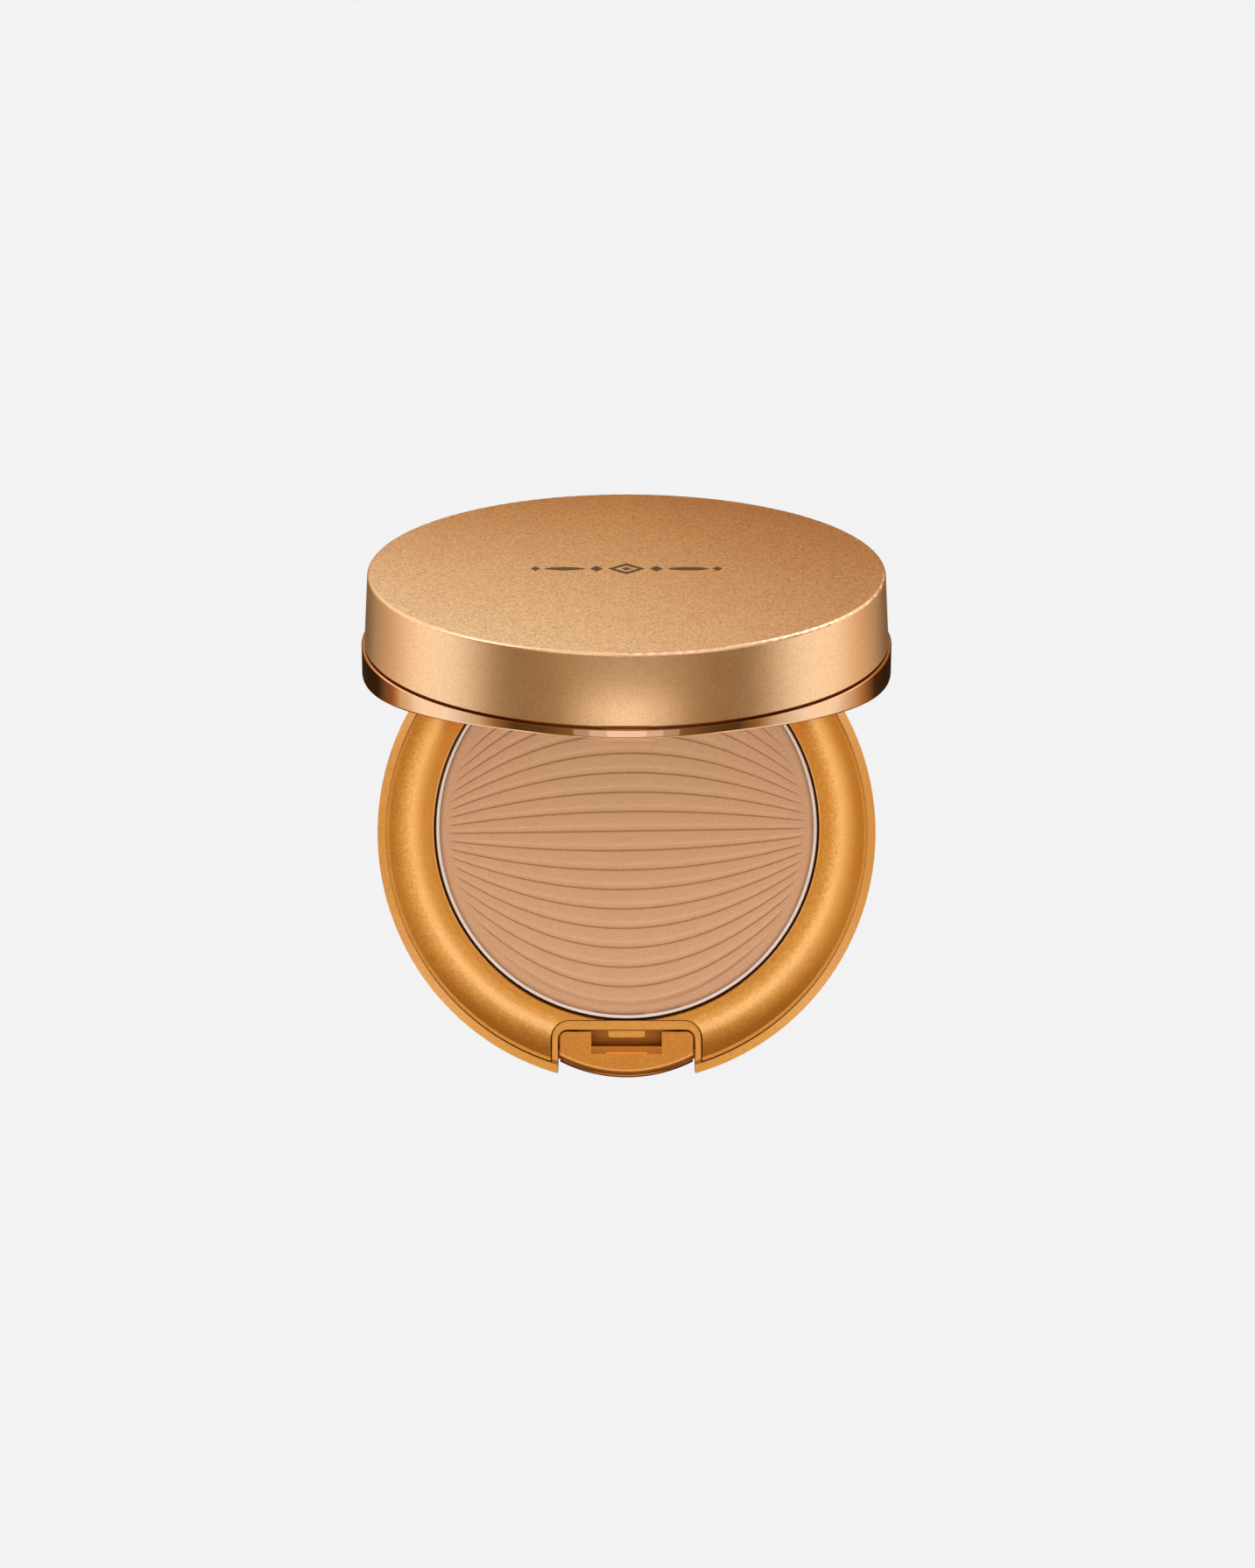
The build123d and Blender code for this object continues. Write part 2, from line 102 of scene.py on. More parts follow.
BEAD_SIDE = 3.2 * MM          # the latch bead in the button's window stays bright
BEAD_BACK = -30.9 * MM
BEAD_LOW = 1.3 * MM
LEDGE_LOW = 4.0 * MM          # the ledge around the ring is above this height
LIP_INSIDE = 36.9 * MM        # inner radius of the ring's lip

# ---- lid ornament: half sizes of its tiles, and their distances from the middle ----
INK_THICK = 0.03 * MM
FRAME_OUTER = (2.7 * MM, 2.6 * MM)
FRAME_INNER = (1.8 * MM, 1.6 * MM)
DOT = (0.7 * MM, 0.7 * MM)
LOZENGE = (0.95 * MM, 1.3 * MM)
LOZENGE_AT = 4.4 * MM
DASH = (3.0 * MM, 0.75 * MM)
DASH_AT = 9.1 * MM
END_LOZENGE = (0.7 * MM, 1.0 * MM)
END_AT = 13.4 * MM

# ---- studio ----
BACKDROP = 0.89               # radiance that the camera sees
FLOOR_SIZE = 4.0
FLOOR_REACH = 120 * MM        # the floor's painted shadow ends at this distance
DARKEST_WARMED = 0.4          # radiance below this gets no browner
LOBE_BACK = 0.079             # the bright lobe overhead: its lean to the back and its half widths
LOBE_HALF = (0.40, 0.36)
LOBE_REACH = 3.0              # its shading ends at this many half widths
LOBE_TINT = (1.0, 1.08, 1.4, 1)
FRONT_TINT = (1.12, 1.20, 1.45, 1)


# ------------------------------------------------------------------ node helpers
def add(tree, kind, **inputs):
    """Add a shader node. An input is a value or another node's output socket."""
    made = tree.nodes.new("ShaderNode" + kind)
    for key, value in inputs.items():
        connect(tree, made.inputs[key.replace("_", " ")], value)
    return made


def connect(tree, socket, value):
    """Link a socket to an output, or set its value."""
    if isinstance(value, bpy.types.NodeSocket):
        tree.links.new(value, socket)
    else:
        socket.default_value = value


def math(tree, operation, *values):
    """Math node on one to three values; returns its output."""
    made = tree.nodes.new("ShaderNodeMath")
    made.operation = operation
    for socket, value in zip(made.inputs, values):
        connect(tree, socket, value)
    return made.outputs[0]


def vector_math(tree, operation, a, b=None, scale=None):
    """Vector math node; returns its vector output."""
    made = tree.nodes.new("ShaderNodeVectorMath")
    made.operation = operation
    connect(tree, made.inputs[0], a)
    if b is not None:
        connect(tree, made.inputs[1], b)
    if scale is not None:
        connect(tree, made.inputs["Scale"], scale)
    return made.outputs[0]


def vector_value(tree, operation, a, b=(0.0, 0.0, 0.0)):
    """Vector math node that gives a number, such as a length or a dot product."""
    made = tree.nodes.new("ShaderNodeVectorMath")
    made.operation = operation
    connect(tree, made.inputs[0], a)
    connect(tree, made.inputs[1], b)
    return made.outputs["Value"]


def from_axis(tree, vector):
    """Distance of a point from the vertical axis through the origin."""
    flat = vector_math(tree, "MULTIPLY", vector, (1.0, 1.0, 0.0))
    return vector_value(tree, "LENGTH", flat)


def part(tree, vector, axis):
    """One coordinate of a vector."""
    return add(tree, "SeparateXYZ", Vector=vector).outputs[axis]


def grey(value):
    return (value, value, value, 1.0)


def ramp(tree, factor, stops):
    """Colour ramp from (position, grey value or colour) stops; returns its colour output."""
    made = tree.nodes.new("ShaderNodeValToRGB")
    elements = made.color_ramp.elements
    elements.remove(elements[1])
    for index, (position, value) in enumerate(stops):
        element = elements[0] if index == 0 else elements.new(position)
        element.position = position
        element.color = value if isinstance(value, tuple) else grey(value)
    connect(tree, made.inputs[0], factor)
    return made.outputs[0]


def ramp_over(tree, value, reach, stops):
    """Colour ramp from 0 to a reach, with its stops in the value's own units."""
    scaled = [(position / reach, shade) for position, shade in stops]
    return ramp(tree, math(tree, "DIVIDE", value, reach), scaled)


def mix(tree, factor, first, second):
    """Mix two colours; returns the result."""
    made = add(tree, "MixRGB", Fac=factor)
    connect(tree, made.inputs[1], first)
    connect(tree, made.inputs[2], second)
    return made.outputs[0]


def place(tree):
    """Position in the object's own coordinates, in metres."""
    return add(tree, "TexCoord").outputs["Object"]


def noise(tree, vector, size, detail=2.0, roughness=0.5):
    """Noise between 0 and 1 with features of about the given size."""
    made = add(tree, "TexNoise", Vector=vector, Scale=1 / size, Detail=detail)
    made.inputs["Roughness"].default_value = roughness
    return made.outputs[0]


def cells(tree, vector, size):
    """A random colour for each cell of about the given size."""
    return add(tree, "TexVoronoi", Vector=vector, Scale=1 / size).outputs["Color"]


def flake_normal(tree, vector, size, tilt):
    """Normal that tilts at random from cell to cell, as metal flakes in a lacquer do."""
    base = add(tree, "NewGeometry").outputs["Normal"]
    offset = vector_math(tree, "SUBTRACT", cells(tree, vector, size), (0.5, 0.5, 0.5))
    tilted = vector_math(tree, "ADD", base, vector_math(tree, "SCALE", offset, scale=tilt))
    return vector_math(tree, "NORMALIZE", tilted)


def bump(tree, height, depth):
    """Normal from a height between 0 and 1, with the given depth."""
    return add(tree, "Bump", Height=height, Distance=depth, Strength=1.0).outputs[0]


def spread(tree, factor, low, high):
    """Map 0..1 to low..high."""
    return math(tree, "MULTIPLY_ADD", factor, high - low, low)


def material(name, **inputs):
    """New Principled material; returns the material, its tree and its shader."""
    made = bpy.data.materials.new(name)
    made.use_nodes = True
    tree = made.node_tree
    shader = tree.nodes["Principled BSDF"]
    for key, value in inputs.items():
        shader.inputs[key.replace("_", " ")].default_value = value
    return made, tree, shader


def link(tree, shader, **outputs):
    """Plug outputs into the shader's inputs."""
    for key, output in outputs.items():
        tree.links.new(output, shader.inputs[key.replace("_", " ")])


# ------------------------------------------------------------------ places on the object
def joint(name):
    """The frame's row for one joint."""
    return next(each for each in frame["joints"] if each["name"] == name)


def lid_placement():
    """Matrix from the closed lid to the open lid at rest."""
    hinge = joint("lid_hinge")
    pivot = Matrix.Translation(hinge["pos_m"])
    opened = radians(-hinge["range_deg"][0])
    return pivot @ Matrix.Rotation(opened, 4, Vector(hinge["axis"])) @ pivot.inverted()


def cover_heights():
    """Lowest and highest point of the lid's cover when the lid is closed."""
    closed = lid_placement().inverted()
    heights = [(closed @ vertex.co).z for vertex in frame["nodes"]["lid_cover"].data.vertices]
    return min(heights), max(heights)


def closed_height(tree, where):
    """Height that a point on the open lid has when the lid is closed."""
    row = lid_placement().inverted()[2]
    along = vector_value(tree, "DOT_PRODUCT", where, tuple(row[:3]))
    return math(tree, "ADD", along, row[3])


def parting_height(tree, where):
    """Height of the base's parting surface: level in the middle, an arc down to both sides."""
    x = math(tree, "ABSOLUTE", part(tree, where, "X"))
    beyond = math(tree, "MAXIMUM", math(tree, "SUBTRACT", x, PARTING_LEVEL), 0.0)
    fall = math(tree, "MULTIPLY", math(tree, "MULTIPLY", beyond, beyond), 0.5 / PARTING_ARC)
    return math(tree, "SUBTRACT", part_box("base_shell")[1].z, fall)


# ------------------------------------------------------------------ shade in gaps
def gap_shade(tree, where, surface, deepest):
    """Colour factor inside the base's gaps: it turns brown with depth below a surface."""
    depth = math(tree, "SUBTRACT", surface, part(tree, where, "Z"))
    deeper = ramp_over(tree, depth, 5 * MM, [
        (0.1 * MM, 1.0), (0.35 * MM, GAP_EDGE), (1.0 * MM, GAP_WALL), (2.5 * MM, deepest)])
    outside = math(tree, "GREATER_THAN", from_axis(tree, where), GAP_REACH)
    underneath = math(tree, "LESS_THAN", part(tree, where, "Z"), GAP_LOW)
    bright = math(tree, "MAXIMUM", outside, underneath)
    bright = math(tree, "MAXIMUM", bright, on_bead(tree, where, depth))
    return mix(tree, bright, deeper, grey(1.0))


def on_bead(tree, where, depth):
    """1 on the latch bead in the button's window and 0 elsewhere."""
    beside = math(tree, "LESS_THAN", math(tree, "ABSOLUTE", part(tree, where, "X")), BEAD_SIDE)
    in_front = math(tree, "LESS_THAN", part(tree, where, "Y"), BEAD_BACK)
    above = math(tree, "LESS_THAN", depth, BEAD_LOW)
    return math(tree, "MULTIPLY", math(tree, "MULTIPLY", beside, in_front), above)


def tray_gaps(tree, where):
    """Nearly black shade in the gaps around the pan and the ring."""
    return gap_shade(tree, where, parting_height(tree, where), GAP_BLACK)


def shell_gaps(tree, where):
    """Brown shade in the base's gaps and where the ledge meets the ring's lip."""
    from_lip = math(tree, "SUBTRACT", from_axis(tree, where), LIP_INSIDE)
    foot = ramp_over(tree, from_lip, 1 * MM, [
        (0.15 * MM, 1.0), (0.35 * MM, LIP_SHADE), (0.72 * MM, LIP_SHADE), (0.92 * MM, 1.0)])
    on_ledge = math(tree, "GREATER_THAN", part(tree, where, "Z"), LEDGE_LOW)
    foot = mix(tree, on_ledge, grey(1.0), foot)
    gaps = gap_shade(tree, where, parting_height(tree, where), GAP_BROWN)
    return vector_math(tree, "MULTIPLY", gaps, foot)


def button_gaps(tree, where):
    """Brown shade below the button's top face, and a lighter one on its front."""
    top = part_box("push_button")[1].z
    depth = math(tree, "SUBTRACT", top, part(tree, where, "Z"))
    front = ramp_over(tree, depth, 5 * MM, [(0.15 * MM, 1.0), (0.45 * MM, FRONT_SHADE)])
    return vector_math(tree, "MULTIPLY", gap_shade(tree, where, top, GAP_BROWN), front)


def lid_groove(tree, where):
    """Brown shade in the groove at the lower edge of the lid's cover."""
    above_seat = math(tree, "SUBTRACT", closed_height(tree, where), cover_heights()[0])
    return ramp_over(tree, above_seat, 1 * MM, [(0.24 * MM, GROOVE_SHADE), (0.27 * MM, 1.0)])


# ------------------------------------------------------------------ materials
def lid_spark(tree, where):
    """Flake contrast, painted stronger on the lid's flat top than on its wall to stand in for how the
    light shows the flakes there.
    """
    on_top = math(tree, "GREATER_THAN", closed_height(tree, where), cover_heights()[1] - 0.02 * MM)
    return spread(tree, on_top, *LID_SPARK)


def flake_lacquer(name, colour, roughness, flake, tilt, spark, coat, shade_gaps=None):
    """Metallic lacquer: flakes of one size, a little cloudiness, and an optional clear coat.

    The spark, how much the flakes differ, is a number or a function of tree and position.
    """
    made, tree, shader = material(name, Metallic=1.0, Coat_Weight=coat, Coat_Roughness=0.14)
    where = place(tree)
    cell = add(tree, "SeparateColor", Color=cells(tree, where, flake)).outputs[0]
    cloud = noise(tree, where, 9 * MM, detail=3.0)
    strength = spark(tree, where) if callable(spark) else spark
    sparkle = math(tree, "MULTIPLY_ADD", spread(tree, cell, -1.0, 1.0), strength, 1.0)
    shade = math(tree, "MULTIPLY", sparkle, spread(tree, cloud, 0.97, 1.03))
    base = add(tree, "RGB").outputs[0]
    base.default_value = (*colour, 1.0)
    tinted = vector_math(tree, "SCALE", base, scale=shade)
    if shade_gaps:
        tinted = vector_math(tree, "MULTIPLY", tinted, shade_gaps(tree, where))
    wiped = noise(tree, where, 3 * MM, detail=4.0, roughness=0.65)
    link(
        tree, shader,
        Base_Color=tinted,
        Roughness=spread(tree, wiped, roughness - 0.03, roughness + 0.03),
        Normal=flake_normal(tree, where, flake, tilt),
    )
    return made


def polished_band():
    """Mirror-bright plated band with faint handling marks."""
    made, tree, shader = material("band_plating", Metallic=1.0)
    where = place(tree)
    smudge = noise(tree, where, 6 * MM, detail=5.0, roughness=0.6)
    hairline = noise(tree, vector_math(tree, "MULTIPLY", where, (0.12, 1.0, 1.0)), 0.15 * MM)
    colour = ramp(tree, smudge, [(0.3, (0.87, 0.53, 0.30, 1)), (0.7, (0.92, 0.58, 0.34, 1))])
    link(
        tree, shader,
        Base_Color=colour,
        Roughness=ramp(tree, smudge, [(0.35, 0.04), (0.75, 0.08)]),
        Normal=bump(tree, hairline, 0.0004 * MM),
    )
    return made


def turned_aluminium():
    """Pan metal with the concentric lines of its drawing."""
    made, tree, shader = material("pan_aluminium", Metallic=0.4)
    low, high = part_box("powder_pan")
    where = vector_math(tree, "SUBTRACT", place(tree), tuple((low + high) / 2))
    radius = from_axis(tree, where)
    rings = noise(tree, add(tree, "CombineXYZ", X=radius).outputs[0], 0.06 * MM)
    stain = noise(tree, where, 4 * MM, detail=4.0)
    link(
        tree, shader,
        Base_Color=ramp(tree, stain, [(0.3, (0.80, 0.70, 0.61, 1)), (0.7, (0.88, 0.78, 0.69, 1))]),
        Roughness=spread(tree, rings, 0.20, 0.36),
        Normal=bump(tree, rings, 0.003 * MM),
    )
    return made


def drawn_steel(name, along):
    """Bright steel with fine lines along one axis and slight staining."""
    made, tree, shader = material(name, Metallic=1.0)
    stretched = vector_math(tree, "MULTIPLY", place(tree), along)
    lines = noise(tree, stretched, 0.12 * MM, detail=3.0)
    stain = noise(tree, place(tree), 5 * MM, detail=4.0, roughness=0.6)
    colour = ramp(tree, stain, [(0.3, (0.46, 0.45, 0.44, 1)), (0.7, (0.60, 0.59, 0.57, 1))])
    link(
        tree, shader,
        Base_Color=colour,
        Roughness=spread(tree, lines, 0.22, 0.42),
        Normal=bump(tree, lines, 0.004 * MM),
    )
    return made


def mirror_glass():
    """Silvered mirror with a faint film of handling smudges."""
    made, tree, shader = material("mirror_glass", Metallic=1.0)
    where = place(tree)
    smear = noise(tree, where, 12 * MM, detail=5.0, roughness=0.7)
    dust = noise(tree, where, 0.5 * MM, detail=2.0)
    film = math(tree, "MULTIPLY", ramp(tree, smear, [(0.5, 0.0), (0.75, 1.0)]), dust)
    link(
        tree, shader,
        Base_Color=mix(tree, film, (0.92, 0.94, 0.93, 1), (0.80, 0.81, 0.80, 1)),
        Roughness=spread(tree, film, 0.015, 0.16),
    )
    return made


def adhesive_tape():
    """Double-sided tape: off-white fibres under a dull glue film."""
    made, tree, shader = material("adhesive_tape", IOR=1.45)
    where = place(tree)
    fibre = noise(tree, vector_math(tree, "MULTIPLY", where, (1.0, 0.2, 1.0)), 0.3 * MM, 4.0)
    patch = noise(tree, where, 6 * MM)
    colour = mix(tree, patch, (0.74, 0.71, 0.62, 1), (0.84, 0.82, 0.75, 1))
    link(
        tree, shader,
        Base_Color=mix(tree, spread(tree, fibre, 0.0, 0.35), colour, (0.55, 0.52, 0.45, 1)),
        Roughness=spread(tree, fibre, 0.38, 0.62),
        Normal=bump(tree, fibre, 0.02 * MM),
    )
    return made


def blank_label():
    """Matt film label without any print, slightly mottled."""
    made, tree, shader = material("blank_label", IOR=1.45)
    where = place(tree)
    grain = noise(tree, where, 0.18 * MM, detail=3.0)
    cloud = noise(tree, where, 8 * MM, detail=3.0)
    colour = mix(tree, cloud, (0.60, 0.47, 0.33, 1), (0.68, 0.55, 0.40, 1))
    link(
        tree, shader,
        Base_Color=mix(tree, spread(tree, grain, 0.0, 0.2), colour, (0.42, 0.31, 0.20, 1)),
        Roughness=spread(tree, grain, 0.42, 0.58),
        Normal=bump(tree, grain, 0.01 * MM),
    )
    return made


def pressed_powder(centre, radius):
    """Beige pressed powder: fine grains, soft blotches, pinker towards the pan wall, and a painted
    shade on its very edge next to the pan wall.
    """
    made, tree, shader = material("pressed_powder", Sheen_Weight=0.08, Sheen_Roughness=0.5)
    where = place(tree)
    shader.inputs["Specular IOR Level"].default_value = 0.15
    offset = vector_math(tree, "SUBTRACT", where, tuple(centre))
    outward = math(tree, "DIVIDE", from_axis(tree, offset), radius)
    blotch = noise(tree, where, 7 * MM, detail=3.0)
    grain = noise(tree, where, 0.24 * MM, detail=3.0, roughness=0.7)
    edge = ramp(tree, outward, [(0.55, 0.0), (1.0, 1.0)])
    middle = mix(tree, blotch, (0.585, 0.344, 0.182, 1), (0.605, 0.356, 0.192, 1))
    toned = mix(tree, edge, middle, (0.595, 0.340, 0.195, 1))
    # painted shade where the powder's edge meets the pan wall
    rim_shade = ramp(tree, outward, [(0.975, 1.0), (0.996, 0.66)])
    # grain, times the painted shade at the rim
    grain_and_rim_shade = math(tree, "MULTIPLY", spread(tree, grain, 0.76, 1.24), rim_shade)
    link(
        tree, shader,
        Base_Color=vector_math(tree, "SCALE", toned, scale=grain_and_rim_shade),
        Roughness=spread(tree, grain, 0.75, 0.95),
        Normal=bump(tree, grain, 0.012 * MM),
    )
    return made


def ornament_ink():
    """Dark bronze foil print, a little uneven."""
    made, tree, shader = material("ornament_foil", Metallic=0.8)
    where = place(tree)
    grain = noise(tree, where, 0.2 * MM, detail=3.0)
    link(
        tree, shader,
        Base_Color=mix(tree, grain, (0.10, 0.06, 0.03, 1), (0.17, 0.10, 0.055, 1)),
        Roughness=spread(tree, grain, 0.35, 0.55),
        Normal=bump(tree, grain, 0.004 * MM),
    )
    return made


# ------------------------------------------------------------------ powder relief
def smooth_step(low, high, value):
    """Smooth rise from 0 at low to 1 at high."""
    t = np.clip((value - low) / (high - low), 0.0, 1.0)
    return t * t * (3 - 2 * t)


def ridge_rows():
    """Row positions in ridge steps: close together where the relief bends."""
    within = (-0.038, -0.016, 0.0, 0.016, 0.038, 0.14, 0.24, 0.27, 0.297, 0.325, 0.35, 0.5, 0.68, 0.85)
    ridges = range(-RIDGE_COUNT, RIDGE_COUNT + 1)
    return np.array([ridge + row for ridge in ridges for row in within])


def ridge_profile(position):
    """Relief of one step from 0 to 1: a steep side at the front, a flat top, a soft back."""
    near = position - np.round(position - 0.2)
    return smooth_step(*RIDGE_RISE, near) * (1 - smooth_step(*RIDGE_FALL, near))


def powder_grid(radius):
    """Points of the powder's face about its own centre, rows following the ridges."""
    across = radius * np.sin(np.linspace(-pi / 2, pi / 2, POWDER_COLUMNS))
    x, row = np.meshgrid(across, ridge_rows())
    closing = 1 - RIDGE_CLOSING * (x / RIDGE_REACH) ** 2
    y = RIDGE_SHIFT + RIDGE_SLANT * x + RIDGE_STEP * row * closing
    limit = np.sqrt(np.maximum(radius**2 - x**2, 0.0))
    y = np.clip(y, -limit, limit)
    from_wall = radius - np.hypot(x, y)
    shown = smooth_step(PLAIN_BORDER, PLAIN_BORDER + BORDER_BLEND, from_wall)
    relief = RIDGE_HEIGHT * np.sqrt(closing) * ridge_profile(row) * shown
    rounding = RIM_DROP * (1 - smooth_step(0.0, RIM_WIDTH, from_wall))
    return x, y, relief - rounding - RIDGE_HEIGHT


def ridged_powder():
    """Pressed powder with its relief, closed down to the pan's bottom."""
    low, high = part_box("powder_cake")
    centre = (low + high) / 2
    radius = (high.x - low.x) / 2
    x, y, z = powder_grid(radius)
    shape = bmesh.new()
    rows, columns = x.shape
    points = [
        [shape.verts.new((centre.x + x[i, j], centre.y + y[i, j], high.z + z[i, j]))
         for j in range(columns)]
        for i in range(rows)
    ]
    for i in range(rows - 1):
        for j in range(columns - 1):
            shape.faces.new((points[i][j], points[i][j + 1], points[i + 1][j + 1], points[i + 1][j]))
    bmesh.ops.remove_doubles(shape, verts=shape.verts, dist=WELD)
    rim = [edge for edge in shape.edges if edge.is_boundary]
    walls = bmesh.ops.extrude_edge_only(shape, edges=rim)["geom"]
    for part in walls:
        if isinstance(part, bmesh.types.BMVert):
            part.co.z = low.z
    bottom = [edge for edge in shape.edges if edge.is_boundary]
    bmesh.ops.contextual_create(shape, geom=bottom)
    bmesh.ops.recalc_face_normals(shape, faces=shape.faces)
    piece = new_object("pressed_powder", shape)
    for face in piece.data.polygons:
        face.use_smooth = face.normal.z > 0.3
    piece.data.materials.append(pressed_powder(centre, radius))
    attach(piece, "base")
    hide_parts("powder_cake")
    return piece


def new_object(name, shape):
    """Object with the mesh of a bmesh, which is freed."""
    mesh = bpy.data.meshes.new(name)
    shape.to_mesh(mesh)
    shape.free()
    made = bpy.data.objects.new(name, mesh)
    bpy.context.scene.collection.objects.link(made)
    return made


# ------------------------------------------------------------------ lid ornament
def lens_outline(half_length, half_width, steps=12):
    """Slim shape with pointed ends, between two arcs."""
    upper = [(half_length * cos(pi * k / steps), half_width * sin(pi * k / steps) ** 1.5)
             for k in range(steps + 1)]
    lower = [(-px, -py) for px, py in upper[1:-1]]
    return upper + lower


def lozenge_outline(half_width, half_height):
    """Four corners, anticlockwise from the right."""
    return [(half_width, 0), (0, half_height), (-half_width, 0), (0, -half_height)]


def add_prism(shape, outline, at, height):
    """Flat tile with the given outline, standing on the lid's top."""
    lower = [shape.verts.new((at + px, py, height)) for px, py in outline]
    upper = [shape.verts.new((at + px, py, height + INK_THICK)) for px, py in outline]
    add_sides(shape, lower, upper)
    shape.faces.new(upper)
    shape.faces.new(reversed(lower))


def add_sides(shape, lower, upper):
    """Band of faces between two closed rows of points."""
    count = len(lower)
    for k in range(count):
        n = (k + 1) % count
        shape.faces.new((lower[k], lower[n], upper[n], upper[k]))


def add_frame(shape, outer, inner, height):
    """Flat open tile between two outlines of the same number of points."""
    rings = []
    for outline in (outer, inner):
        for level in (height, height + INK_THICK):
            rings.append([shape.verts.new((px, py, level)) for px, py in outline])
    outer_low, outer_high, inner_low, inner_high = rings
    add_sides(shape, outer_low, outer_high)
    add_sides(shape, inner_high, inner_low)
    add_sides(shape, outer_high, inner_high)
    add_sides(shape, inner_low, outer_low)


def lid_ornament():
    """Row of an open lozenge with small lozenges and tapered dashes at both sides."""
    top = cover_heights()[1]
    shape = bmesh.new()
    add_frame(shape, lozenge_outline(*FRAME_OUTER), lozenge_outline(*FRAME_INNER), top)
    add_prism(shape, lozenge_outline(*DOT), 0.0, top)
    for side in (-1, 1):
        add_prism(shape, lozenge_outline(*LOZENGE), side * LOZENGE_AT, top)
        add_prism(shape, lens_outline(*DASH), side * DASH_AT, top)
        add_prism(shape, lozenge_outline(*END_LOZENGE), side * END_AT, top)
    bmesh.ops.recalc_face_normals(shape, faces=shape.faces)
    bmesh.ops.transform(shape, matrix=lid_placement(), verts=shape.verts)
    piece = new_object("lid_ornament", shape)
    piece.data.materials.append(ornament_ink())
    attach(piece, "lid")


# ------------------------------------------------------------------ finishes of the CAD nodes
def paint(finish, *nodes):
    """Give CAD nodes one finish."""
    for name in nodes:
        for index in range(len(frame["nodes"][name].data.materials)):
            frame["nodes"][name].data.materials[index] = finish


def finish_nodes():
    """Give every CAD node its material."""
    lid = flake_lacquer("lid_lacquer", LID_GOLD, 0.33, flake=0.22 * MM, tilt=0.008,
                        spark=lid_spark, coat=0.0, shade_gaps=lid_groove)
    inside = flake_lacquer("inner_lacquer", LID_GOLD, 0.30, flake=0.22 * MM, tilt=0.04,
                           spark=0.06, coat=0.3)
    gold = dict(flake=0.25 * MM, tilt=0.03, spark=0.07, coat=0.8)
    shell = flake_lacquer("shell_lacquer", BASE_GOLD, 0.34, shade_gaps=shell_gaps, **gold)
    tray = flake_lacquer("tray_lacquer", BASE_GOLD, 0.23, shade_gaps=tray_gaps, **gold)
    button = flake_lacquer("button_lacquer", BUTTON_GOLD, 0.25, shade_gaps=button_gaps, **gold)
    paint(lid, "lid_cover")
    paint(polished_band(), "lid_band")
    paint(shell, "base_shell")
    paint(tray, "base_tray")
    paint(button, "push_button")
    paint(inside, "lid_frame")
    paint(turned_aluminium(), "powder_pan")
    paint(mirror_glass(), "lid_mirror")
    paint(adhesive_tape(), "pan_tape", "mirror_tape")
    paint(blank_label(), "bottom_label")
    paint(drawn_steel("pin_steel", (0.08, 1.0, 1.0)), "hinge_pin")
    paint(drawn_steel("plate_steel", (0.1, 1.0, 1.0)), "weight_plate")
    paint(drawn_steel("spring_steel", (1.0, 0.3, 1.0)), "button_spring_left", "button_spring_right")


def yielding_springs():
    """Copies of the button's springs with meshes of their own, on the base, in place of the CAD
    springs.
    """
    for side in ("left", "right"):
        node = frame["nodes"][f"button_spring_{side}"]
        coil = bpy.data.objects.new(f"spring_coil_{side}", node.data.copy())
        bpy.context.scene.collection.objects.link(coil)
        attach(coil, "base")
        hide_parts(node.name)
        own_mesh(coil)


# ------------------------------------------------------------------ studio
def warmed(tree, value, less_green, less_blue):
    """Radiance colour that turns browner as it gets darker, as a room full of gold does."""
    capped = math(tree, "MINIMUM", math(tree, "MAXIMUM", value, DARKEST_WARMED), 1.0)
    green = math(tree, "MULTIPLY", value, math(tree, "POWER", capped, less_green))
    blue = math(tree, "MULTIPLY", value, math(tree, "POWER", capped, less_blue))
    return add(tree, "CombineColor", Red=value, Green=green, Blue=blue).outputs[0]


def seen_by_camera(tree):
    """1 for rays straight from the camera and 0 for reflections."""
    return add(tree, "LightPath").outputs["Is Camera Ray"]


def studio_world():
    """Even backdrop for the camera; a softbox, a dark belt and a light horizon for reflections."""
    world = bpy.data.worlds.new("studio")
    bpy.context.scene.world = world
    world.use_nodes = True
    tree = world.node_tree
    direction = add(tree, "TexCoord").outputs["Generated"]
    from_lobe = lobe_distance(tree, direction)
    ring = ramp_over(tree, from_lobe, LOBE_REACH, [
        (0.0, 0.50), (0.5, 0.57), (0.75, 0.76), (0.90, 1.25), (1.02, 1.25), (1.2, 0.84),
        (1.4, 0.64), (1.65, 0.50), (1.9, 0.46), (2.4, 0.41)])
    cool = ramp_over(tree, from_lobe, LOBE_REACH, [
        (0.6, 1.0), (0.9, LOBE_TINT), (1.02, LOBE_TINT), (1.4, 1.0)])
    from_zenith = math(tree, "ARCCOSINE", part(tree, direction, "Z"))
    belt = ramp_over(tree, from_zenith, pi / 2, [
        (radians(45), 1.0), (radians(54), 0.42), (radians(63), 0.32), (radians(70), 1.05),
        (radians(77), 2.15), (radians(90), 2.5)])
    forward = math(tree, "MULTIPLY", part(tree, direction, "Y"), -1.0)
    front = ramp(tree, forward, [
        (0.08, 1.0), (0.18, FRONT_TINT), (0.32, FRONT_TINT), (0.45, 0.74), (0.62, 0.68),
        (0.75, 1.0), (0.86, 1.0), (0.93, 0.3)])
    seen = warmed(tree, math(tree, "MULTIPLY", ring, belt), 0.55, 1.6)
    seen = vector_math(tree, "MULTIPLY", vector_math(tree, "MULTIPLY", seen, cool), front)
    colour = mix(tree, seen_by_camera(tree), seen, grey(BACKDROP))
    connect(tree, tree.nodes["Background"].inputs["Color"], colour)


